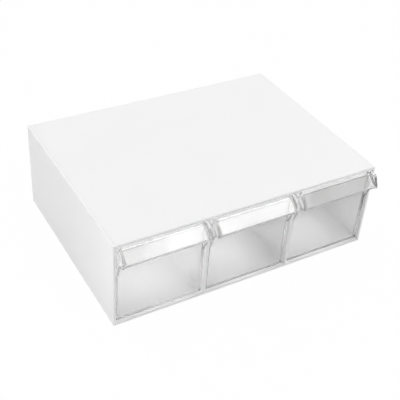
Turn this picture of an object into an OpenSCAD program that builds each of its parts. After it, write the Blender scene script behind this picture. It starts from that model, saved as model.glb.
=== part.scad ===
// Desktop drawer box: a case of snap-together panels that holds three clear drawers side by side.
// X runs across the drawers, drawers slide out towards -Y, and Z is up.
// The origin is the centre of the case's underside, which is the face it stands and stacks on.

/* [Case] */
// Width of the case, over both side panels
case_w = 240; // [210:5:300]
// Depth of the case, without the lips of the drawers
case_d = 176; // [150:2:240]
// Height of the case
case_h = 80; // [70:1:100]
// Thickness of each side panel
side_t = 2.2; // [2:0.1:3]
// Thickness of top, base, back and divider panels
panel_t = 2.5; // [2.2:0.1:3.5]
// Rounding of the case's outer edges
edge_r = 0.8; // [0.3:0.1:1]
// Rounding of the edges at the seams and the front opening
seam_r = 0.35; // [0.1:0.05:0.5]

/* [Panel joints] */
// Length of the tabs that plug one panel into the next
tab_len = 18; // [10:1:24]
// How far a tab reaches into its pocket
tab_reach = 1.2; // [0.8:0.1:1.4]
// Thickness of a tab
tab_t = 1.1; // [0.8:0.1:1.3]
// Clearance of a tab in its pocket, on every side
tab_fit = 0.1; // [0.05:0.05:0.2]

/* [Drawers] */
// How far the drawer fronts lie behind the front of the case
recess = 2; // [1:0.5:5]
// Gap between a drawer and the wall on each side of it
side_gap = 0.6; // [0.4:0.1:1.2]
// Gap between a drawer front and the panels above and below it
front_gap = 1.1; // [0.8:0.1:1.5]
// Thickness of the drawer's sides and back
wall_t = 1.6; // [1.4:0.1:2.4]
// Thickness of the drawer's floor
floor_t = 1.4; // [1.2:0.1:2.4]
// Thickness of the drawer's front
front_t = 2.2; // [1.8:0.1:3]
// Gap between the top panel and the sides of a drawer
side_drop = 7; // [3:1:20]
// How far a drawer pulls out before its stop
travel = 125; // [80:5:130]

/* [Lip] */
// How far the lip stands out in front of the case
lip_reach = 10.8; // [9:0.2:14]
// Height of the cheeks at the ends of the lip, from their lower end to the top of the drawer front
lip_h = 11.4; // [10:0.1:13]
// How far the cheeks reach below the lip's lower edge
cheek_drop = 0.7; // [0:0.1:1.5]
// Slope of the sunken label face
face_slope = 40; // [35:1:45]
// Radius of the bend from the drawer front into the label face
bend_r = 5.6; // [4:0.1:7]
// Thickness of the lip
lip_t = 1.9; // [1.6:0.1:2.4]
// Thickness of the raised cheek at each end of the lip
cheek_t = 2.6; // [2:0.1:3.5]
// Slope of the front edge of the cheeks
cheek_slope = 67; // [60:1:75]
// Rounding of the cheeks' upper corner
cheek_r = 4.5; // [3:0.5:5]
// Slope of the gusset under each cheek
gusset_slope = 66.5; // [60:0.5:75]

/* [Hidden] */
$fn = 48;

// Places in the case
front_y = -case_d / 2;
back_y = case_d / 2;
inner_x = case_w / 2 - side_t;
base_top = panel_t;
top_under = case_h - panel_t;
back_front = back_y - panel_t;
panel_h = top_under - base_top;
cell_w = (2 * inner_x - 2 * panel_t) / 3;
cell_pitch = cell_w + panel_t;
divider_x = [-cell_pitch / 2, cell_pitch / 2];

// Tabs: three along the depth, two up the height, and three across the back
depth_tab_pitch = 0.36 * case_d;
depth_tabs = [-depth_tab_pitch, 0, depth_tab_pitch];
height_tabs = [base_top + panel_h / 4, top_under - panel_h / 4];
across_tabs = [-cell_pitch, 0, cell_pitch];
// How far the root of a tab sinks into its own panel
tab_root = 1;
// Distance from the face of a panel to the middle of a tab that stands on it
tab_mid = (tab_reach - tab_root) / 2;

// How far the parts of one moulding run into each other
weld = 0.5;

// Drawer, in the frame of its own cell
drawer_w = cell_w - 2 * side_gap;
run_gap = 0.2;
drawer_z = base_top + run_gap;
drawer_top = top_under - front_gap;
drawer_y = front_y + recess;
back_gap = 0.5;
drawer_back = back_front - back_gap;
side_top = top_under - side_drop;
foot_r = 1.6;
back_corner_r = 4;
front_corner_r = 0.8;

// Stop tab on the back of each drawer, and the rib under the top panel that it meets
stop_w = 18;
stop_gap = 0.3;
stop_top = top_under - stop_gap;
rib_w = 30;
rib_h = 1.3;
rib_t = 2;
stop_slack = 0.3;
rib_rear = drawer_back - wall_t - travel - stop_slack;

// Lip: the drawer front's top edge bends forward into a sloping face, which ends in a steep chin
lip_front = front_y - lip_reach;
cheek_z = drawer_top - lip_h;
lip_z = cheek_z + cheek_drop;
// The chin lies a little behind the front edge of the cheeks, at the same slope
chin_h = 1.7;
chin_inset = 0.5;
chin_foot = [lip_front + chin_inset + cheek_drop / tan(cheek_slope), lip_z];
face_normal = [-sin(face_slope), cos(face_slope)];
chin_normal = [-sin(cheek_slope), cos(cheek_slope)];
face_foot = chin_foot + chin_h * [1 / tan(cheek_slope), 1];
bend_z = drawer_top - bend_r;
bend_y = face_foot[0] + ((bend_z - face_foot[1]) * cos(face_slope) + bend_r) / sin(face_slope);
gusset_setback = 5.5;
gusset_t = 2.2;

// Rectangle from p, with its corners rounded: r is [low-left, low-right, high-right, high-left]
module soft_rect(p, size, r) {
    spare = 1;
    corners = [
        [p[0], p[1], 1, 1],
        [p[0] + size[0], p[1], -1, 1],
        [p[0] + size[0], p[1] + size[1], -1, -1],
        [p[0], p[1] + size[1], 1, -1]
    ];
    difference() {
        translate(p) square(size);
        for (k = [0:3])
            if (r[k] > 0)
                translate([for (n = [0, 1]) corners[k][n] - (corners[k][n + 2] > 0 ? spare : r[k])])
                    square(r[k] + spare);
    }
    for (k = [0:3])
        if (r[k] > 0)
            translate([corners[k][0] + corners[k][2] * r[k], corners[k][1] + corners[k][3] * r[k]])
                circle(r = r[k]);
}

// A drawing in the XZ plane, made solid from y0 to y1
module along_y(y0, y1) {
    translate([0, y1, 0]) rotate([90, 0, 0]) linear_extrude(y1 - y0) children();
}

// A drawing in the YZ plane, made solid from x0 to x1
module along_x(x0, x1) {
    translate([x0, 0, 0]) rotate([90, 0, 90]) linear_extrude(x1 - x0) children();
}

// A box between two corners
module block(low, high) {
    translate(low) cube(high - low);
}

// A box about a centre, grown by a clearance where a pocket needs it
module tab(centre, size, grow = 0) {
    translate(centre) cube(size + [2 * grow, 2 * grow, 2 * grow], center = true);
}

// Tabs of the top and base panels, at height z, that plug into one side panel
module side_tabs(side, z, grow = 0) {
    for (y = depth_tabs)
        tab([side * (inner_x + tab_mid), y, z], [tab_reach + tab_root, tab_len, tab_t], grow);
}

// Tabs of the back panel that plug into one side panel
module back_side_tabs(side, grow = 0) {
    for (z = height_tabs)
        tab([side * (inner_x + tab_mid), back_y - panel_t / 2, z],
            [tab_reach + tab_root, tab_t, tab_len], grow);
}

// Tabs of the back panel that plug into the top and the base
module back_edge_tabs(grow = 0) {
    for (x = across_tabs)
        for (z = [base_top - tab_mid, top_under + tab_mid])
            tab([x, back_y - panel_t / 2, z], [tab_len, tab_t, tab_reach + tab_root], grow);
}

// Tabs of a divider that plug into the top and the base
module divider_edge_tabs(x, grow = 0) {
    for (y = depth_tabs)
        for (z = [base_top - tab_mid, top_under + tab_mid])
            tab([x, y, z], [tab_t, tab_len, tab_reach + tab_root], grow);
}

// Tabs of a divider that plug into the back
module divider_back_tabs(x, grow = 0) {
    for (z = height_tabs)
        tab([x, back_front + tab_mid, z], [tab_t, tab_reach + tab_root, tab_len], grow);
}

// Side panel: the outer edges are rounded, and the inner face has the pockets for every tab
module side_panel(side) {
    color("white")
    difference() {
        mirror([side < 0 ? 1 : 0, 0, 0])
        intersection() {
            along_y(front_y, back_y)
                soft_rect([inner_x, 0], [side_t, case_h], [0, edge_r, edge_r, seam_r]);
            linear_extrude(case_h)
                soft_rect([inner_x, front_y], [side_t, case_d], [seam_r, edge_r, edge_r, 0]);
        }
        side_tabs(side, panel_t / 2, tab_fit);
        side_tabs(side, case_h - panel_t / 2, tab_fit);
        back_side_tabs(side, tab_fit);
    }
}

// Top panel: tabs at both sides, slots underneath, and a stop rib over each drawer
module top_panel() {
    color("white") {
        difference() {
            intersection() {
                along_y(front_y, back_y)
                    soft_rect([-inner_x, top_under], [2 * inner_x, panel_t], [0, 0, seam_r, seam_r]);
                along_x(-inner_x, inner_x)
                    soft_rect([front_y, top_under], [case_d, panel_t], [seam_r, 0, edge_r, edge_r]);
            }
            for (x = divider_x) divider_edge_tabs(x, tab_fit);
            back_edge_tabs(tab_fit);
        }
        for (side = [-1, 1]) side_tabs(side, case_h - panel_t / 2);
        for (cell = [-1, 0, 1]) stop_rib(cell * cell_pitch);
    }
}

// Stop rib, with a ramp in front so that a drawer snaps past it when it is pushed in
module stop_rib(x) {
    ramp = 2 * rib_h;
    along_x(x - rib_w / 2, x + rib_w / 2)
        polygon([
            [rib_rear, top_under + weld],
            [rib_rear, top_under - rib_h],
            [rib_rear - rib_t, top_under - rib_h],
            [rib_rear - rib_t - ramp, top_under],
            [rib_rear - rib_t - ramp, top_under + weld]
        ]);
}

// Base panel: tabs at both sides, and slots on top. The drawers slide on its plain upper face
module base_panel() {
    color("white") {
        difference() {
            along_x(-inner_x, inner_x)
                soft_rect([front_y, 0], [case_d, panel_t], [seam_r, edge_r, 0, seam_r]);
            for (x = divider_x) divider_edge_tabs(x, tab_fit);
            back_edge_tabs(tab_fit);
        }
        for (side = [-1, 1]) side_tabs(side, panel_t / 2);
    }
}

// Back panel: tabs all round, and slots for the dividers
module back_panel() {
    color("white") {
        difference() {
            block([-inner_x, back_front, base_top], [inner_x, back_y, top_under]);
            for (x = divider_x) divider_back_tabs(x, tab_fit);
        }
        for (side = [-1, 1]) back_side_tabs(side);
        back_edge_tabs();
    }
}

// Divider: a plain wall with a softened front edge
module divider(x) {
    color("white") {
        translate([0, 0, base_top])
            linear_extrude(panel_h)
                soft_rect([x - panel_t / 2, front_y], [panel_t, case_d - panel_t], [seam_r, seam_r, 0, 0]);
        divider_edge_tabs(x);
        divider_back_tabs(x);
    }
}

// Plan of the tray, grown inwards by t
module tray_plan(t) {
    soft_rect(
        [-drawer_w / 2 + t, drawer_y + t],
        [drawer_w - 2 * t, drawer_back - drawer_y - 2 * t],
        [front_corner_r, front_corner_r, back_corner_r - t, back_corner_r - t]
    );
}

// Front view of the tray: side walls up to the height top, with rounded feet, grown inwards by t
module tray_section(t, top) {
    soft_rect(
        [-drawer_w / 2 + t, drawer_z + t],
        [drawer_w - 2 * t, top - drawer_z - t],
        [foot_r, foot_r, 0, 0]
    );
}

// Open tray: floor, both sides and back
module tray() {
    difference() {
        intersection() {
            translate([0, 0, drawer_z]) linear_extrude(side_top - drawer_z) tray_plan(0);
            along_y(drawer_y, drawer_back) tray_section(0, side_top);
        }
        intersection() {
            translate([0, 0, drawer_z + floor_t]) linear_extrude(case_h) tray_plan(wall_t);
            along_y(drawer_y, drawer_back) tray_section(floor_t, case_h);
        }
    }
}

// Front of the drawer, up to the lip
module drawer_front() {
    along_y(drawer_y, drawer_y + front_t)
        soft_rect([-drawer_w / 2, drawer_z], [drawer_w, drawer_top - drawer_z], [foot_r, foot_r, 0, 0]);
}

// The round corner between a level top and a slope that falls to the front
module round_corner(centre, r, slope) {
    intersection() {
        translate(centre) circle(r = r);
        polygon([centre, centre + [0, 2 * r], centre + 2 * r * [-tan(slope), 1]]);
    }
}

// The space under the outer face of the lip, drawn smaller by t
module lip_space(t) {
    bend = [bend_y, bend_z];
    foot = face_foot - t * (face_normal + chin_normal) / (1 + face_normal * chin_normal);
    polygon([
        [drawer_y + front_t, bend_z + bend_r - t],
        [bend_y, bend_z + bend_r - t],
        bend + (bend_r - t) * face_normal,
        foot,
        [foot[0] - (foot[1] - lip_z) / tan(cheek_slope), lip_z],
        [drawer_y + front_t, lip_z]
    ]);
    round_corner(bend, bend_r - t, face_slope);
}

// Lip: a hood with a sunken, sloping label face, open underneath for the fingers
module lip() {
    end = drawer_w / 2 - cheek_t + weld;
    along_x(-end, end)
        difference() {
            lip_space(0);
            lip_space(lip_t);
        }
}

// Cheek: closes the end of the lip and stands proud of its label face
module cheek_plan() {
    corner_y = lip_front + lip_h / tan(cheek_slope);
    centre = [corner_y + cheek_r * tan(cheek_slope / 2), drawer_top - cheek_r];
    polygon([
        [drawer_y + weld, drawer_top],
        [centre[0], drawer_top],
        centre + cheek_r * chin_normal,
        [lip_front, cheek_z],
        [drawer_y + weld, cheek_z]
    ]);
    round_corner(centre, cheek_r, cheek_slope);
}

// Gusset: the drawer's side carried forward under the cheek
module gusset_plan() {
    gusset_front = lip_front + gusset_setback;
    gusset_h = (drawer_y - gusset_front) * tan(gusset_slope);
    polygon([
        [drawer_y + weld, cheek_z],
        [gusset_front, cheek_z],
        [drawer_y, cheek_z - gusset_h],
        [drawer_y + weld, cheek_z - gusset_h]
    ]);
}

// Stop tab that stands up from the back of the tray
module stop_tab() {
    block([-stop_w / 2, drawer_back - wall_t, side_top - weld], [stop_w / 2, drawer_back, stop_top]);
}

// One whole drawer, in the cell that lies cell places to the right of the middle one
module drawer(cell) {
    color([0.86, 0.88, 0.9, 0.45])
    translate([cell * cell_pitch, 0, 0]) {
        tray();
        drawer_front();
        lip();
        for (side = [-1, 1])
            mirror([side < 0 ? 1 : 0, 0, 0]) {
                along_x(drawer_w / 2 - cheek_t, drawer_w / 2) cheek_plan();
                along_x(drawer_w / 2 - gusset_t, drawer_w / 2) gusset_plan();
            }
        stop_tab();
    }
}

side_panel(-1);  // side_panel_left
side_panel(1);  // side_panel_right
top_panel();
base_panel();
back_panel();
divider(divider_x[0]);  // divider_left
divider(divider_x[1]);  // divider_right
drawer(-1);  // drawer_left
drawer(0);  // drawer_middle
drawer(1);  // drawer_right
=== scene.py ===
# %% [markdown]
# # A desktop box with three clear drawers
#
# The real object is a white moulded case, about as big as a sheet of office paper, with three clear
# polystyrene drawers side by side. The case panels are already modelled to size in the frame that is
# loaded here, so this lesson gives them their satin finish. It then moulds the three drawers as one
# clean closed mesh each, because clear plastic shows every fillet, every rounded rim and every stray
# face.

# %% Load the frame
import math

import bmesh
import bpy
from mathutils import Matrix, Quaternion, Vector


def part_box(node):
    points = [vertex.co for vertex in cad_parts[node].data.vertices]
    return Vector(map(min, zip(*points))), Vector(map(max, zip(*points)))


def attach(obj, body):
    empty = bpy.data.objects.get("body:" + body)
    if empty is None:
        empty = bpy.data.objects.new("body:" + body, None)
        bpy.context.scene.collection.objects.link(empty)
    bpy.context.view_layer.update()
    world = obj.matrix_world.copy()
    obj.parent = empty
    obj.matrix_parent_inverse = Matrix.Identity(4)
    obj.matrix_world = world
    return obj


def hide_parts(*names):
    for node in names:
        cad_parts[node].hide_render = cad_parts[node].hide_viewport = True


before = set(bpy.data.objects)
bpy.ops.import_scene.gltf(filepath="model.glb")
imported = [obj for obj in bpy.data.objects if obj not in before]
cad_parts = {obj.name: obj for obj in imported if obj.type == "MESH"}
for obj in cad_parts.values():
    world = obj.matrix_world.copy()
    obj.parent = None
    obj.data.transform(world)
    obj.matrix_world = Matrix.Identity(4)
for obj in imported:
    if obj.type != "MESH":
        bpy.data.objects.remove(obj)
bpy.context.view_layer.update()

MM = 0.001

# %% [markdown]
# ## The camera
#
# A product shot of a box is taken with a longer lens from above one front corner, so that the top, one
# side and the drawer fronts all show. The camera is placed by the two angles it looks from, its
# distance and the point it aims at. A camera that is held by hand is never quite level, so it also
# rolls a few degrees. A Track To constraint could aim it, but would keep it level, so its rotation is
# worked out here.

# %% Camera
camera_azimuth = math.radians(-32.21)
camera_elevation = math.radians(37.16)
camera_roll = math.radians(4.46)
camera_distance = 714 * MM
camera_target = Vector((5.0, 0, 20.8)) * MM
camera_lens = 71.94

towards_camera = Vector((
    math.sin(camera_azimuth) * math.cos(camera_elevation),
    -math.cos(camera_azimuth) * math.cos(camera_elevation),
    math.sin(camera_elevation),
))
camera = bpy.data.objects.new("camera", bpy.data.cameras.new("camera"))
camera.data.lens = camera_lens
camera.location = camera_target + towards_camera * camera_distance
camera.rotation_mode = "QUATERNION"
level_view = (-towards_camera).to_track_quat("-Z", "Y")
camera.rotation_quaternion = level_view @ Quaternion((0, 0, 1), camera_roll)
bpy.context.scene.collection.objects.link(camera)
bpy.context.scene.camera = camera
bpy.context.scene.view_settings.view_transform = "Standard"
print("camera at", [round(x, 3) for x in camera.location], "m")

# %% [markdown]
# ## Light paths
#
# Light that reaches the camera from inside the case has been through several sheets of clear plastic,
# and has bounced from white wall to white wall. Cut short, such paths turn black, so they may be longer
# here than usual.

# %% Light paths
light_paths = {
    "max_bounces": 32,
    "diffuse_bounces": 12,
    "glossy_bounces": 24,
    "transmission_bounces": 24,
    "transparent_max_bounces": 64,
}
for limit, bounces in light_paths.items():
    setattr(bpy.context.scene.cycles, limit, bounces)
print("longest light path:", light_paths["max_bounces"], "bounces")

# %% [markdown]
# ## Helpers for shader nodes
#
# Materials are easiest to read when a node, its settings and what feeds it stand together. These
# helpers add a node to a tree and fill its sockets: a socket as the value makes a link, and anything
# else is set directly.


# %% Shader node helpers
def fill(tree, node, inputs):
    """Fills inputs of a node, which are keyed by name or by number."""
    for key, value in inputs.items():
        if isinstance(value, bpy.types.NodeSocket):
            tree.links.new(value, node.inputs[key])
        else:
            node.inputs[key].default_value = value
    return node


def add_node(tree, kind, inputs=None, **settings):
    """A new node in the tree, with its settings and inputs."""
    node = tree.nodes.new(kind)
    for name, value in settings.items():
        setattr(node, name, value)
    return fill(tree, node, inputs or {})


def mix_colour(tree, share, first, second):
    """Colour between two others."""
    mixed = add_node(tree, "ShaderNodeMix", data_type="RGBA")
    fill(tree, mixed, {0: share, 6: first, 7: second})
    return mixed.outputs[2]


# %% [markdown]
# ## The room
#
# Pale products are shot on a white sweep in a white room. The room's light comes from everywhere, so
# here the world does most of the work. It could be one even colour, but a studio is darker towards the
# front, where it has its camera and its gangway, and that gives the top and the fronts their different
# greys. The camera sees the room plain white, also through clear plastic. Mirrors see it at about a
# third, because behind the camera a real room is dimmer than the paper.

# %% Room
room_light = 0.78
dark_end = 0.35
room_mirrored = 0.3

# how far a direction points to the back where the dark end stops, and where the full light starts
dark_until = -0.8
full_from = 0.3


def make_room():
    """World that lights the object evenly and looks plain white."""
    world = bpy.data.worlds.new("white_room")
    world.use_nodes = True
    tree = world.node_tree
    background = tree.nodes["Background"]
    background.inputs["Color"].default_value = (1, 1, 1, 1)
    direction = add_node(tree, "ShaderNodeTexCoord").outputs["Generated"]
    to_the_back = add_node(tree, "ShaderNodeSeparateXYZ", {"Vector": direction}).outputs["Y"]
    lighting = add_node(tree, "ShaderNodeMapRange", {
        "Value": to_the_back, "From Min": dark_until, "From Max": full_from,
        "To Min": dark_end, "To Max": room_light,
    }, interpolation_type="SMOOTHSTEP")
    path = add_node(tree, "ShaderNodeLightPath")
    direct = add_node(tree, "ShaderNodeMath", {
        0: path.outputs["Is Camera Ray"], 1: path.outputs["Is Transmission Ray"],
    }, operation="MAXIMUM")
    mirrored = add_node(tree, "ShaderNodeMath", {
        0: path.outputs["Is Glossy Ray"], 1: room_mirrored,
    }, operation="MULTIPLY")
    seen = add_node(tree, "ShaderNodeMath", {
        0: direct.outputs[0], 1: mirrored.outputs[0],
    }, operation="MAXIMUM")
    strength = add_node(tree, "ShaderNodeMapRange", {
        "Value": seen.outputs[0], "To Min": lighting.outputs[0], "To Max": 1.0,
    })
    tree.links.new(strength.outputs[0], background.inputs["Strength"])
    bpy.context.scene.world = world


make_room()
print("room light", dark_end, "at the front to", room_light, "at the back")

# %% [markdown]
# ## The sweep
#
# The sweep is a roll of paper that the box stands on. Nearly all that the camera sees of it directly is
# plain white, as paper looks when it is lit until it just burns out. The rest is real diffuse paper
# that takes the contact shadow. Every other ray meets nothing but that lit paper, so it bounces light
# up at the case, and the clear fronts mirror a soft grey and not a burnt-out white. A studio bends its
# paper up behind the product, but from this height the camera sees only floor, so it can stay flat.

# %% Sweep
sweep_size = 6.0
sweep_drop = 0.05 * MM
sweep_colour = (0.93, 0.93, 0.93, 1)
sweep_white = 0.97


def make_sweep():
    """Paper under the box."""
    material = bpy.data.materials.new("sweep_paper")
    material.use_nodes = True
    tree = material.node_tree
    tree.nodes.clear()
    paper = add_node(tree, "ShaderNodeBsdfDiffuse", {"Color": sweep_colour})
    white = add_node(tree, "ShaderNodeEmission", {"Color": (1, 1, 1, 1), "Strength": 1.0})
    path = add_node(tree, "ShaderNodeLightPath")
    share = add_node(tree, "ShaderNodeMath", {
        0: path.outputs["Is Camera Ray"], 1: sweep_white,
    }, operation="MULTIPLY")
    mixed = add_node(tree, "ShaderNodeMixShader", {
        0: share.outputs[0], 1: paper.outputs[0], 2: white.outputs[0],
    })
    add_node(tree, "ShaderNodeOutputMaterial", {"Surface": mixed.outputs[0]})
    bpy.ops.mesh.primitive_plane_add(size=sweep_size, location=(0, 0, -sweep_drop))
    sweep = bpy.context.object
    sweep.name = "sweep"
    sweep.data.materials.append(material)


make_sweep()
print("sweep", sweep_size, "m wide")

# %% [markdown]
# ## The soft boxes
#
# A bank of narrow soft boxes hangs level at the front right. Its only job is to be mirrored in the
# sloping label faces of the drawers, so its place is the mirror image of the camera in those faces. It
# is dimmer at both ends, which makes the first label brighten from left to right and leaves the third
# one nearly plain. One large box would give all three the same tone. It hangs square to the case, so
# that its mirror image has edges in line with the lips.
#
# The other boxes only give light and aren't mirrored. A large one overhead lights the top, one at the
# left lights the side panel, a key at the front right lights the front edges of the panels, and a small
# fill lifts the upper front corner of the side panel.


# %% Soft boxes
def add_lamp(name, place, facing, size, radiance):
    """Rectangular area lamp that shines towards facing. Its own face looks as bright as radiance."""
    lamp = bpy.data.lights.new(name, "AREA")
    lamp.shape = "RECTANGLE"
    lamp.size, lamp.size_y = size
    lamp.energy = radiance * math.pi * size[0] * size[1]
    stand = bpy.data.objects.new(name, lamp)
    stand.location = place
    stand.rotation_mode = "QUATERNION"
    stand.rotation_quaternion = Vector(facing).to_track_quat("-Z", "Y")
    bpy.context.scene.collection.objects.link(stand)
    print(name, round(lamp.energy, 3), "W")
    return stand


def hide_lamp(stand):
    """Keeps a lamp out of the picture and out of reflections."""
    stand.visible_camera = False
    stand.visible_glossy = False
    stand.visible_transmission = False


down = (0, 0, -1)
bank_y = -0.735
bank_z = 1.07
bank_depth = 0.15

# left end, right end and radiance of each box of the bank, in metres from the middle of the case
label_bank = (
    (0.29, 0.35, 2.9),
    (0.35, 0.41, 4.5),
    (0.41, 0.53, 5.7),
    (0.53, 0.79, 6.4),
    (0.79, 0.83, 1.8),
)
for number, (left, right, radiance) in enumerate(label_bank, start=1):
    place = ((left + right) / 2, bank_y, bank_z)
    add_lamp(f"label_softbox_{number}", place, down, (right - left, bank_depth), radiance)

# place, facing, size and radiance
plain_boxes = {
    "top_softbox": ((-0.1, 0.4, 1.6), down, (1.6, 1.2), 1.27),
    "side_softbox": ((-1.2, 0.25, 0.6), (1, -0.2, -0.4), (0.80, 0.80), 0.5),
    "front_key": ((0.53, -0.86, 1.05), (-0.38, 0.55, -0.743), (0.60, 0.60), 2.2),
    "corner_fill": ((-0.20, -0.10, 0.072), (1, 0.2, 0), (0.04, 0.04), 1.8),
}
for name, (place, facing, size, radiance) in plain_boxes.items():
    hide_lamp(add_lamp(name, place, facing, size, radiance))

# %% [markdown]
# ## Light through the thin walls
#
# White polystyrene a couple of millimetres thick isn't opaque, so the inside of the real case glows.
# Tracing that through the walls takes more light bounces than a render has, so a slim lamp lies against
# the inside of the walls that get the most light: one under the top panel over each drawer, and one on
# the left side. They can't be seen, and shine only into the cell.

# %% Glow of the case
glow_margin = 4 * MM
glow_gap = 0.3 * MM
ceiling_spread = math.radians(65)
side_spread = math.radians(90)

# radiance, front end, back end and distance to the right side of the drawer below
ceiling_glow = {
    "drawer_left": (0.62, -77 * MM, -16 * MM, 4 * MM),
    "drawer_middle": (1.0, -81 * MM, 30 * MM, 14 * MM),
    "drawer_right": (1.05, -81 * MM, -20 * MM, 14 * MM),
}

# radiance, front end, back end, foot and head
side_glow = (0.9, -72 * MM, 44 * MM, 6 * MM, 74 * MM)


def add_glow(name, place, facing, size, radiance, spread):
    """Hidden lamp that shines within a cone."""
    glow = add_lamp(name, place, facing, size, radiance)
    glow.data.spread = spread
    hide_lamp(glow)


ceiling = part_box("top_panel")[0].z
for name, (radiance, front_end, back_end, right_margin) in ceiling_glow.items():
    low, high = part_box(name)
    left, right = low.x + glow_margin, high.x - right_margin
    place = ((left + right) / 2, (front_end + back_end) / 2, ceiling - glow_gap)
    size = (right - left, back_end - front_end)
    add_glow("glow_over_" + name, place, down, size, radiance, ceiling_spread)

radiance, front_end, back_end, foot, head = side_glow
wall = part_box("side_panel_left")[1].x
place = (wall + glow_gap, (front_end + back_end) / 2, (foot + head) / 2)
add_glow("glow_through_side", place, (1, 0, 0), (back_end - front_end, head - foot), radiance, side_spread)

# %% [markdown]
# ## Surface effects that both plastics share
#
# Both plastics come out of a polished or lightly sparked steel mould. Two effects are worth having in
# both materials with different values: the skin that the mould leaves, which is a fine grain over long,
# very shallow sink ripples, and the hairline scuffs of handling. Each is a node group that puts out
# only a height or a mask, so each material decides what to do with it. Image maps could hold the same
# effects, but a group needs no file, repeats nowhere and is set in real millimetres.


# %% Group helpers
def new_group(name, inputs, outputs):
    """Empty shader node group with named sockets, and its input and output nodes."""
    group = bpy.data.node_groups.new(name, "ShaderNodeTree")
    for label, kind, value in inputs:
        socket = group.interface.new_socket(label, in_out="INPUT", socket_type=kind)
        if value is not None:
            socket.default_value = value
    for label in outputs:
        group.interface.new_socket(label, in_out="OUTPUT", socket_type="NodeSocketFloat")
    return group, group.nodes.new("NodeGroupInput"), group.nodes.new("NodeGroupOutput")


def place_group(tree, group, inputs):
    """A node group placed in a material with its own values."""
    return add_node(tree, "ShaderNodeGroup", inputs, node_tree=group)


# %% Moulded skin
def make_moulded_skin():
    """Group: height in metres of the mould's grain and sink ripples, and a slow mottle from 0 to 1."""
    group, given, result = new_group("moulded_skin", [
        ("Position", "NodeSocketVector", None),
        ("Grain Size", "NodeSocketFloat", 0.4 * MM),
        ("Grain Depth", "NodeSocketFloat", 0.003 * MM),
        ("Ripple Size", "NodeSocketFloat", 25 * MM),
        ("Ripple Depth", "NodeSocketFloat", 0.01 * MM),
    ], ["Height", "Mottle"])
    waves = []
    for size, depth, detail in (("Grain Size", "Grain Depth", 3.0), ("Ripple Size", "Ripple Depth", 1.0)):
        scale = add_node(group, "ShaderNodeMath", {0: 1.0, 1: given.outputs[size]}, operation="DIVIDE")
        noise = add_node(group, "ShaderNodeTexNoise", {
            "Vector": given.outputs["Position"], "Scale": scale.outputs[0], "Detail": detail,
        })
        height = add_node(group, "ShaderNodeMath", {
            0: noise.outputs[0], 1: given.outputs[depth],
        }, operation="MULTIPLY")
        waves.append((noise, height))
    (_, grain), (slow_noise, ripple) = waves
    both = add_node(group, "ShaderNodeMath", {0: grain.outputs[0], 1: ripple.outputs[0]}, operation="ADD")
    group.links.new(both.outputs[0], result.inputs["Height"])
    group.links.new(slow_noise.outputs[0], result.inputs["Mottle"])
    return group


moulded_skin = make_moulded_skin()
print("group:", moulded_skin.name)


# %% Handling scuffs
# rotation of each set of hairlines in radians, and how the noise is stretched along it
hairlines = (
    ((0.2, 0.15, 0.5), (1.0, 0.06, 1.0)),
    ((-0.36, -0.27, -0.9), (0.05, 1.0, 0.7)),
)
patch_starts = 0.45
patch_full = 0.65


def make_handling_scuffs():
    """Group: mask of fine hairlines in two directions, gathered in patches."""
    group, given, result = new_group("handling_scuffs", [
        ("Position", "NodeSocketVector", None),
        ("Spacing", "NodeSocketFloat", 12 * MM),
        ("Fineness", "NodeSocketFloat", 0.012),
        ("Amount", "NodeSocketFloat", 0.5),
    ], ["Mask"])
    frequency = add_node(group, "ShaderNodeMath", {0: 1.0, 1: given.outputs["Spacing"]}, operation="DIVIDE")
    lines = []
    for rotation, stretch in hairlines:
        turned = add_node(group, "ShaderNodeMapping", {
            "Vector": given.outputs["Position"], "Rotation": rotation, "Scale": stretch,
        })
        noise = add_node(group, "ShaderNodeTexNoise", {
            "Vector": turned.outputs[0], "Scale": frequency.outputs[0], "Detail": 2.0,
        })
        off_line = add_node(group, "ShaderNodeMath", {0: noise.outputs[0], 1: 0.5}, operation="SUBTRACT")
        distance = add_node(group, "ShaderNodeMath", {0: off_line.outputs[0]}, operation="ABSOLUTE")
        line = add_node(group, "ShaderNodeMapRange", {
            "Value": distance.outputs[0], "From Min": 0.0, "From Max": given.outputs["Fineness"],
            "To Min": 1.0, "To Max": 0.0,
        })
        lines.append(line)
    crossed = add_node(group, "ShaderNodeMath", {
        0: lines[0].outputs[0], 1: lines[1].outputs[0],
    }, operation="MAXIMUM")
    patches = add_node(group, "ShaderNodeTexNoise", {
        "Vector": given.outputs["Position"], "Scale": frequency.outputs[0], "Detail": 1.0,
    })
    worn = add_node(group, "ShaderNodeMapRange", {
        "Value": patches.outputs[0], "From Min": patch_starts, "From Max": patch_full,
        "To Min": 0.0, "To Max": given.outputs["Amount"],
    })
    mask = add_node(group, "ShaderNodeMath", {
        0: crossed.outputs[0], 1: worn.outputs[0],
    }, operation="MULTIPLY")
    group.links.new(mask.outputs[0], result.inputs["Mask"])
    return group


handling_scuffs = make_handling_scuffs()
print("group:", handling_scuffs.name)

# %% [markdown]
# ## Satin white plastic
#
# The case is white polystyrene from a lightly textured mould. It isn't pure white: a white that
# reflects everything would burn out beside the white background. It has a broad, soft sheen, so the
# roughness sits near the middle and drifts slowly with the mottle of the skin, and the hairlines are a
# touch shinier. A little subsurface scattering softens the edges, as light does that enters the plastic
# and leaves it beside the spot.

# %% White material
polystyrene_ior = 1.59
white_tones = ((0.895, 0.895, 0.895, 1), (0.925, 0.925, 0.925, 1))
white_roughness = (0.40, 0.50)
scuff_shine = -0.10
scatter_depth = 0.4 * MM


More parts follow.
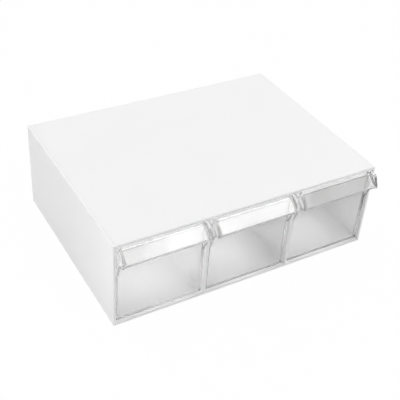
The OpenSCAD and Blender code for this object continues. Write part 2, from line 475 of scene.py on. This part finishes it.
def make_white_plastic():
    """Satin moulded white for every panel of the case."""
    material = bpy.data.materials.new("satin_white_plastic")
    material.use_nodes = True
    tree = material.node_tree
    plastic = tree.nodes["Principled BSDF"]
    position = add_node(tree, "ShaderNodeTexCoord").outputs["Object"]
    skin = place_group(tree, moulded_skin, {
        "Position": position, "Grain Size": 0.45 * MM, "Grain Depth": 0.006 * MM,
        "Ripple Size": 60 * MM, "Ripple Depth": 0.02 * MM,
    })
    scuffs = place_group(tree, handling_scuffs, {
        "Position": position, "Spacing": 22 * MM, "Fineness": 0.006, "Amount": 0.35,
    })
    sheen = add_node(tree, "ShaderNodeMapRange", {
        "Value": skin.outputs["Mottle"], "To Min": white_roughness[0], "To Max": white_roughness[1],
    })
    scuffed = add_node(tree, "ShaderNodeMath", {
        0: scuffs.outputs["Mask"], 1: scuff_shine, 2: sheen.outputs[0],
    }, operation="MULTIPLY_ADD")
    bump = add_node(tree, "ShaderNodeBump", {"Height": skin.outputs["Height"], "Distance": 1.0})
    fill(tree, plastic, {
        "Base Color": mix_colour(tree, skin.outputs["Mottle"], *white_tones),
        "Roughness": scuffed.outputs[0], "Normal": bump.outputs[0], "IOR": polystyrene_ior,
        "Subsurface Weight": 1.0, "Subsurface Radius": (1.0, 1.0, 1.0), "Subsurface Scale": scatter_depth,
    })
    return material


white_plastic = make_white_plastic()
panel_names = [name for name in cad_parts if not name.startswith("drawer_")]
for name in panel_names:
    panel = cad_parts[name]
    for slot in panel.material_slots:
        slot.material = white_plastic
print("satin white on", panel_names)

# %% [markdown]
# ## Clear polystyrene
#
# The drawers are clear polystyrene, which bends light more than glass does. The cavity side of the
# mould is polished, so the outside is glossy. The core side, which forms the inside of the tray and the
# underside of the lip, is only drawn smooth and is left satin, so what stands behind it looks soft. The
# underside of the drawer is scuffed by sliding. Each face of the moulding carries that extra roughness
# as an attribute. A Glass shader would bend light as well, and so does the Principled one used here.
#
# Light that reaches the inside of the case has to come through the drawers. Traced truly, every path
# would be refracted many times and the inside would be noisy and dark. So three Mix Shaders let the
# rays that carry light pass straight on: shadow rays, diffuse rays, and rays that were already mirrored
# once. What the camera sees is still truly refracted. The little that each surface holds back is what
# the real plastic reflects.

# %% Clear material
clear_share = 0.95
clear_tones = ((0.975, 0.975, 0.975, 1), (0.99, 0.99, 0.99, 1))
clear_roughness = (0.02, 0.04)
core_satin = 0.18
underside_satin = 0.50
scuff_haze = 0.12
light_let_in = (0.90, 0.90, 0.90, 1)
light_let_through = (0.955, 0.955, 0.955, 1)
light_let_out = (0.94, 0.94, 0.94, 1)
satin_mark = "satin"


def make_clear_plastic():
    """Polished clear polystyrene for the drawers."""
    material = bpy.data.materials.new("clear_polystyrene")
    material.use_nodes = True
    tree = material.node_tree
    plastic = tree.nodes["Principled BSDF"]
    output = tree.nodes["Material Output"]
    position = add_node(tree, "ShaderNodeTexCoord").outputs["Object"]
    skin = place_group(tree, moulded_skin, {
        "Position": position, "Grain Size": 3 * MM, "Grain Depth": 0.0006 * MM,
        "Ripple Size": 16 * MM, "Ripple Depth": 0.02 * MM,
    })
    scuffs = place_group(tree, handling_scuffs, {
        "Position": position, "Spacing": 14 * MM, "Fineness": 0.004, "Amount": 0.5,
    })
    haze = add_node(tree, "ShaderNodeMapRange", {
        "Value": skin.outputs["Mottle"], "To Min": clear_roughness[0], "To Max": clear_roughness[1],
    })
    scuffed = add_node(tree, "ShaderNodeMath", {
        0: scuffs.outputs["Mask"], 1: scuff_haze, 2: haze.outputs[0],
    }, operation="MULTIPLY_ADD")
    marked = add_node(tree, "ShaderNodeAttribute", attribute_name=satin_mark)
    satin = add_node(tree, "ShaderNodeMath", {
        0: marked.outputs["Fac"], 1: scuffed.outputs[0],
    }, operation="ADD")
    bump = add_node(tree, "ShaderNodeBump", {"Height": skin.outputs["Height"], "Distance": 1.0})
    fill(tree, plastic, {
        "Base Color": mix_colour(tree, skin.outputs["Mottle"], *clear_tones),
        "Roughness": satin.outputs[0], "Normal": bump.outputs[0],
        "IOR": polystyrene_ior, "Transmission Weight": clear_share,
    })
    path = add_node(tree, "ShaderNodeLightPath")
    surface = plastic
    for kind, passed in (
        ("Is Reflection Ray", light_let_out),
        ("Is Diffuse Ray", light_let_through),
        ("Is Shadow Ray", light_let_in),
    ):
        clear = add_node(tree, "ShaderNodeBsdfTransparent", {"Color": passed})
        surface = add_node(tree, "ShaderNodeMixShader", {
            0: path.outputs[kind], 1: surface.outputs[0], 2: clear.outputs[0],
        })
    tree.links.new(surface.outputs[0], output.inputs["Surface"])
    return material


clear_plastic = make_clear_plastic()
print("clear material:", clear_plastic.name, "IOR", polystyrene_ior)

# %% [markdown]
# ## Drawing soft-edged solids
#
# A moulded drawer has no sharp edges, because steel moulds are cut with round cutters and the plastic
# shrinks off them. It could be boxes with a bevel over everything, but bevels break down where many
# edges meet. So the solid is thought of as the mould maker thinks of it: one soft-edged block, and
# soft-edged tools that carve it. Each is an outline that is drawn with sharp corners and a radius for
# each, and swept along an axis. Near its ends every side draws in by its own radius, which rounds the
# edge there.


# %% Outlines
arc_facets = 6


def inset_corners(corners, insets):
    """Corners of a counter-clockwise outline after its side i, from corner i on, moved in by insets[i]."""
    moved = []
    for i, here in enumerate(corners):
        back = (here - corners[i - 1]).normalized()
        on = (corners[(i + 1) % len(corners)] - here).normalized()
        first = here + insets[i - 1] * Vector((-back.y, back.x))
        second = here + insets[i] * Vector((-on.y, on.x))
        gap = second - first
        moved.append(first + back * (gap.cross(on) / back.cross(on)))
    return moved


def rounded_outline(corners, radii):
    """The outline with an arc at each corner, always with the same number of points."""
    points = []
    for i, here in enumerate(corners):
        back = (here - corners[i - 1]).normalized()
        on = (corners[(i + 1) % len(corners)] - here).normalized()
        turn = math.atan2(back.cross(on), back.dot(on))
        radius = radii[i] if turn > 0 else -radii[i]
        start = here - back * abs(radius * math.tan(turn / 2))
        centre = start + radius * Vector((-back.y, back.x))
        for k in range(arc_facets + 1):
            angle = turn * k / arc_facets
            arm = start - centre
            points.append(centre + Vector((
                arm.x * math.cos(angle) - arm.y * math.sin(angle),
                arm.x * math.sin(angle) + arm.y * math.cos(angle),
            )))
    return points


# %% Sections
least_radius = 0.06 * MM


def rounding_steps(radii):
    """Distances in from an end at which a section is needed to round edges with these radii."""
    steps = {0.0}
    for radius in set(radii):
        for k in range(1, arc_facets + 1):
            steps.add(round(radius * (1 - math.cos(math.pi / 2 * k / arc_facets)), 7))
    return sorted(steps)


def section(corners, corner_radii, edge_radii, distance):
    """Outline of a soft-edged solid at a distance from its end."""
    insets = []
    for radius in edge_radii:
        depth = max(radius - distance, 0)
        insets.append(radius - math.sqrt(radius * radius - depth * depth))
    moved = inset_corners(corners, insets)
    radii = []
    for i, radius in enumerate(corner_radii):
        inset = (insets[i - 1] + insets[i]) / 2
        back, on = corners[i] - corners[i - 1], corners[(i + 1) % len(corners)] - corners[i]
        radii.append(max(radius - inset, least_radius) if back.cross(on) > 0 else radius + inset)
    return rounded_outline(moved, radii)


# %% Swept solids
def swept_solid(name, corners, corner_radii, low, high, low_edges, high_edges, place):
    """Mesh of an outline swept from low to high. place turns (u, v, along) into a point of the frame."""
    corners = [Vector(c) for c in corners]
    from_low = [low + d for d in rounding_steps(low_edges)]
    from_high = [high - d for d in reversed(rounding_steps(high_edges))]
    mesh = bmesh.new()
    rings = []
    for along in from_low + from_high:
        near_low = along - low < high - along
        edges = low_edges if near_low else high_edges
        distance = along - low if near_low else high - along
        outline = section(corners, corner_radii, edges, distance)
        rings.append([mesh.verts.new(place(p.x, p.y, along)) for p in outline])
    for ring, after in zip(rings, rings[1:]):
        for k in range(len(ring)):
            mesh.faces.new((ring[k - 1], ring[k], after[k], after[k - 1]))
    mesh.faces.new(rings[0])
    mesh.faces.new(list(reversed(rings[-1])))
    bmesh.ops.recalc_face_normals(mesh, faces=mesh.faces)
    data = bpy.data.meshes.new(name)
    mesh.to_mesh(data)
    mesh.free()
    solid = bpy.data.objects.new(name, data)
    bpy.context.scene.collection.objects.link(solid)
    return solid


def across(y, z, x):
    """Sweeps a side view from left to right."""
    return Vector((x, y, z))


def upwards(x, y, z):
    """Sweeps a plan from the floor up."""
    return Vector((x, y, z))


def backwards(x, z, y):
    """Sweeps a front view from front to back."""
    return Vector((x, y, z))


print("soft-edged solids: corners and edges rounded in", arc_facets, "facets")

# %% [markdown]
# ## The drawer as a block
#
# The side view of the drawer holds nearly all its shape: the tray, the front that stands up higher, the
# cheek that leans out over the front, and the gusset that carries the cheek. It could be put together
# from a box and a wedge, but then the seams between them would show in clear plastic. So the block is
# that side view, swept across the drawer. Its ends come from the box of the drawer that it stands for.

# %% Drawer block
drawer_low, drawer_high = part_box("drawer_middle")
drawer_w = drawer_high.x - drawer_low.x
half_w = drawer_w / 2
tray_z = drawer_low.z
tray_back = drawer_high.y
tray_top = 70.5 * MM
front_top = 76.4 * MM
front_y = -86 * MM
front_t = 2.2 * MM
wall_t = 1.6 * MM
floor_t = 1.4 * MM
lip_front = drawer_low.y
cheek_z = 65 * MM
cheek_slope = math.radians(67)
cheek_r = 4.5 * MM
gusset_slope = math.radians(66.5)
gusset_inset = 5.5 * MM

gusset_y = lip_front + gusset_inset
cheek_top_y = lip_front + (front_top - cheek_z) / math.tan(cheek_slope)
gusset_foot_z = cheek_z - (front_y - gusset_y) * math.tan(gusset_slope)

foot_r = 1.6 * MM
back_corner_r = 4 * MM
rim_r = 0.45 * MM
cheek_rim_r = 0.6 * MM

# corner, its radius in the side view, and the rounding of the edge that starts at it
side_view = [
    ((front_y, tray_z), 0.5 * MM, foot_r),
    ((tray_back, tray_z), 1.6 * MM, back_corner_r),
    ((tray_back, tray_top), 0.5 * MM, rim_r),
    ((front_y + front_t, tray_top), 1.2 * MM, rim_r),
    ((front_y + front_t, front_top), rim_r, cheek_rim_r),
    ((cheek_top_y, front_top), cheek_r, cheek_rim_r),
    ((lip_front, cheek_z), 0.8 * MM, cheek_rim_r),
    ((gusset_y, cheek_z), 1.0 * MM, rim_r),
    ((front_y, gusset_foot_z), 1.0 * MM, 0.8 * MM),
]


def make_block():
    """The drawer before anything is carved out of it."""
    corners, radii, edges = zip(*side_view)
    return swept_solid("drawer_block", corners, radii, -half_w, half_w, edges, edges, across)


block = make_block()
print("block:", len(block.data.vertices), "points,", round(drawer_w / MM, 1), "mm wide")

# %% [markdown]
# ## The shape of the lip
#
# The lip of the real drawer is a finger pull and a label holder in one. From the top of the front a
# round bend leads down into the sloping label face, which ends in a short steep chin. The face lies
# sunk between the cheeks. These lines are drawn once here, because the tool above the lip and the one
# below it both follow them, a wall thickness apart.

# %% Lines of the lip
lip_t = 1.9 * MM
cheek_drop = 0.7 * MM
face_slope = math.radians(40)
chin_h = 1.7 * MM
chin_inset = 0.5 * MM

lip_z = cheek_z + cheek_drop
chin_top = lip_z + chin_h
face_foot = Vector((lip_front + chin_inset + (chin_top - cheek_z) / math.tan(cheek_slope), chin_top))
face_along = Vector((math.cos(face_slope), math.sin(face_slope)))
face_out = Vector((-math.sin(face_slope), math.cos(face_slope)))
chin_along = Vector((math.cos(cheek_slope), math.sin(cheek_slope)))
chin_out = Vector((-math.sin(cheek_slope), math.cos(cheek_slope)))


def on_line(start, along, z=None, y=None):
    """The point of a line at a height, or at a depth."""
    step = (z - start.y) / along.y if z is not None else (y - start.x) / along.x
    return start + along * step


def crossing(first, along, second, on):
    """Where two lines meet."""
    return first + along * ((second - first).cross(on) / along.cross(on))


label_h = (front_top - face_foot.y) / face_along.y
print("label face:", round(label_h / MM, 1), "mm from chin to front top, before the bend")

# %% [markdown]
# ## The tools that carve it
#
# Three tools make the drawer. A real mould has the same three parts: a core that forms the inside of
# the tray, the cavity that forms the label face, and a slide that forms the space for the fingers. The
# tray tool is a box with soft lower edges.
#
# The tray tool and the finger tool stand for the core side of the mould, which leaves satin plastic. So
# their faces get a material number of their own, and the faces that they cut inherit it.

# %% Tray tool
tray_fillet = 0.3 * MM
front_corner_r = 1.6 * MM
clearance = 12 * MM
core_number = 1


def mark_core_side(tool):
    """Gives every face of a tool the number of the core side."""
    for face in tool.data.polygons:
        face.material_index = core_number


def make_tray_tool():
    """Inside of the tray, open at the top."""
    x = half_w - wall_t
    front, back = front_y + front_t, tray_back - wall_t
    floor, top = tray_z + floor_t, front_top + clearance
    corners = [(-x, front), (x, front), (x, back), (-x, back)]
    radii = [front_corner_r] * 2 + [back_corner_r - wall_t] * 2
    flat, soft = [0.0] * 4, [tray_fillet] * 4
    return swept_solid("tray_tool", corners, radii, floor, top, soft, flat, upwards)


tray_tool = make_tray_tool()
mark_core_side(tray_tool)
print("tray tool:", len(tray_tool.data.polygons), "faces")

# %% [markdown]
# ## The label tool
#
# This one takes away everything above the lip and between its cheeks. Its rounded ends leave the broad
# fillets that run from the label face up into the cheeks, and one of its corners leaves the bend. It
# stops a hair below the top of the front, so that no two faces lie exactly in one plane.

# %% Label tool
bend_r = 5.6 * MM
chin_r = 0.9 * MM
cheek_t = 2.6 * MM
label_fillet = 2.2 * MM
label_step = 0.05 * MM
tool_corner_r = 0.2 * MM


def make_label_tool():
    """Space over the label face, between the cheeks."""
    top = front_top - label_step
    corners = [
        (front_y + clearance, top),
        (front_y + clearance, front_top + clearance),
        (lip_front - clearance, front_top + clearance),
        on_line(face_foot, chin_along, y=lip_front - clearance / 4),
        face_foot,
        on_line(face_foot, face_along, z=top),
    ]
    radii = [tool_corner_r] * 4 + [chin_r, bend_r]
    edges = [0.0] * 3 + [label_fillet] * 3
    x = half_w - cheek_t
    return swept_solid("label_tool", corners, radii, -x, x, edges, edges, across)


label_tool = make_label_tool()
print("label tool:", len(label_tool.data.polygons), "faces")

# %% [markdown]
# ## The finger tool
#
# This one hollows the lip from below, between the gussets. It follows the label face at the thickness
# of the lip, and its tip leaves the wall of the bend as thick as the rest.

# %% Finger tool
gusset_t = 2.2 * MM
finger_fillet = 0.8 * MM
finger_bend_r = 1.5 * MM
chin_inner_r = 0.4 * MM
lip_edge_fillet = 0.3 * MM


def make_finger_tool():
    """Space under the lip and in front of the drawer front, between the gussets."""
    face_inner = face_foot - face_out * lip_t
    chin_inner = face_foot - chin_out * lip_t
    below = gusset_foot_z - clearance / 2
    corners = [
        (front_y, below),
        on_line(face_inner, face_along, y=front_y),
        crossing(face_inner, face_along, chin_inner, chin_along),
        on_line(chin_inner, chin_along, z=lip_z),
        (lip_front - clearance, lip_z),
        (lip_front - clearance, below),
    ]
    radii = [tool_corner_r, finger_bend_r, chin_inner_r] + [tool_corner_r] * 3
    edges = [finger_fillet] * 3 + [lip_edge_fillet, 0.0, 0.0]
    x = half_w - gusset_t
    return swept_solid("finger_tool", corners, radii, -x, x, edges, edges, across)


finger_tool = make_finger_tool()
mark_core_side(finger_tool)
print("finger tool:", len(finger_tool.data.polygons), "faces")

# %% [markdown]
# ## The stop tab
#
# A tab stands up from the back of the tray. When the drawer is pulled out it meets a rib under the top
# panel, and the drawer stays in the case. It is a front view swept backwards, through the thickness of
# the tray's back, and is joined to the block after the carving.

# %% Stop tab
stop_w = 18 * MM
stop_root = 4 * MM
stop_inset = 0.01 * MM
stop_corner_r = 2 * MM


def make_stop_tab():
    """Tab on the back of the tray that meets the rib under the top panel."""
    x, foot = stop_w / 2, tray_top - stop_root
    corners = [(-x, foot), (x, foot), (x, drawer_high.z), (-x, drawer_high.z)]
    radii = [tool_corner_r] * 2 + [stop_corner_r] * 2
    edges = [0.0] + [rim_r] * 3
    front, back = tray_back - wall_t + stop_inset, tray_back - stop_inset
    return swept_solid("stop_tab", corners, radii, front, back, edges, edges, backwards)


stop_tab = make_stop_tab()
print("stop tab:", round((drawer_high.z - tray_top) / MM, 1), "mm above the tray")

# %% [markdown]
# ## Carving, and softening the last edges
#
# Boolean modifiers carve the block. What is sharp after that are only the edges where a tool broke
# through a face: the rim of the tray, the rims of the cheeks and the lower edge of the lip. A Bevel
# modifier that works by angle finds exactly those. Weighted normals then keep the flat faces flat, so
# that they mirror like real moulded sheet.

# %% Carve the drawer
break_r = 0.4 * MM
sharp_from = math.radians(32)


def carve(solid, cutter, operation):
    """Adds one boolean step to the solid."""
    step = solid.modifiers.new(cutter.name, "BOOLEAN")
    step.operation = operation
    step.solver = "EXACT"
    step.object = cutter
    cutter.hide_render = True


tools = [tray_tool, label_tool, finger_tool]
for tool in tools:
    carve(block, tool, "DIFFERENCE")
carve(block, stop_tab, "UNION")
softener = block.modifiers.new("break_edges", "BEVEL")
softener.limit_method = "ANGLE"
softener.angle_limit = sharp_from
softener.width = break_r
softener.segments = 3
softener.use_clamp_overlap = False
softener.miter_outer = "MITER_ARC"
normals = block.modifiers.new("flat_faces", "WEIGHTED_NORMAL")
normals.keep_sharp = False
for solid in [block, stop_tab, *tools]:
    for face in solid.data.polygons:
        face.use_smooth = True
bpy.context.view_layer.update()
moulding = bpy.data.meshes.new_from_object(block.evaluated_get(bpy.context.evaluated_depsgraph_get()))
for spent in [block, stop_tab, *tools]:
    bpy.data.objects.remove(spent)
print("moulding:", len(moulding.vertices), "points,", len(moulding.polygons), "faces")

# %% [markdown]
# ## Which faces are satin
#
# Satin and polished faces could be two materials, but it is one plastic, and only the polish of the
# mould differs. So each face of the moulding gets a number that the clear material adds to its
# roughness: some for what the core side left, more for the underside that slides on the base, and none
# for the polished outside.

# %% Mark the satin faces
facing_down = -0.99
underside_z = tray_z + 0.1 * MM

satin = moulding.attributes.new(satin_mark, "FLOAT", "FACE")
for face in moulding.polygons:
    if face.normal.z < facing_down and face.center.z < underside_z:
        satin.data[face.index].value = underside_satin
    elif face.material_index == core_number:
        satin.data[face.index].value = core_satin
    face.material_index = 0
print("satin faces:", sum(1 for mark in satin.data if mark.value > 0), "of", len(satin.data))

# %% [markdown]
# ## Is the moulding closed?
#
# Clear plastic shows a hole or a face too many at once, because light is then bent at a surface that
# the real drawer doesn't have. The 3D Print Toolbox could look for both, but a closed solid simply has
# two faces at every edge, and that is quick to count.


# %% Check the moulding
def open_edges(mesh):
    """Edges that don't have exactly two faces."""
    counts = {}
    for face in mesh.polygons:
        for key in face.edge_keys:
            counts[key] = counts.get(key, 0) + 1
    return sum(1 for n in counts.values() if n != 2)


print("edges without two faces:", open_edges(moulding))

# %% [markdown]
# ## Three drawers from one mould
#
# The three drawers of the real box come from the same mould and can change places. So the moulding is
# copied for each of them, shifted to the middle of its cell, and takes the place of the plain drawer
# there. One mesh shared by three objects would be lighter, but the meshes of this frame are drawn in
# place, so these are too. Each copy rides with its own drawer when that slides out.

# %% Three drawers
for name in ("drawer_left", "drawer_middle", "drawer_right"):
    low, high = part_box(name)
    middle = (low.x + high.x) / 2
    mesh = moulding.copy()
    for point in mesh.vertices:
        point.co.x += middle
    mesh.materials.clear()
    mesh.materials.append(clear_plastic)
    drawer = bpy.data.objects.new("clear_" + name, mesh)
    bpy.context.scene.collection.objects.link(drawer)
    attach(drawer, name)
    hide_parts(name)
    print(drawer.name, "at x", round(middle / MM, 2), "mm")
